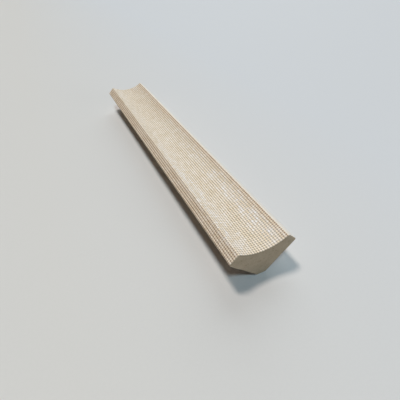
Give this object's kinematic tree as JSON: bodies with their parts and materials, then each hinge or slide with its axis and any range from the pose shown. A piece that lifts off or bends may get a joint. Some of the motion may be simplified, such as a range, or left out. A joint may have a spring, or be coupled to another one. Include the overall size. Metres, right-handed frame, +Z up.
{
  "type": "corner moulding",
  "caption": "Straight cove corner moulding, a short sawn length with a wood-fibre core and a beige textile-look foil round its hollow show face and lips.",
  "frame": {"origin": "middle of the heel chamfer that the moulding lies on, half way along its length", "axes": "+X across the moulding towards its right lip, +Y along its length, +Z up out of the open cove; the two back faces slope at 45 degrees to either side of Z"},
  "size_m": [0.0308, 0.2, 0.0171],
  "materials": {
    "raw_mdf": "matte",
    "textile_look_foil": "matte"
  },
  "bodies": {
    "root": {"mdf_core": "raw_mdf", "textile_foil": "textile_look_foil"}
  },
  "joints": []
}
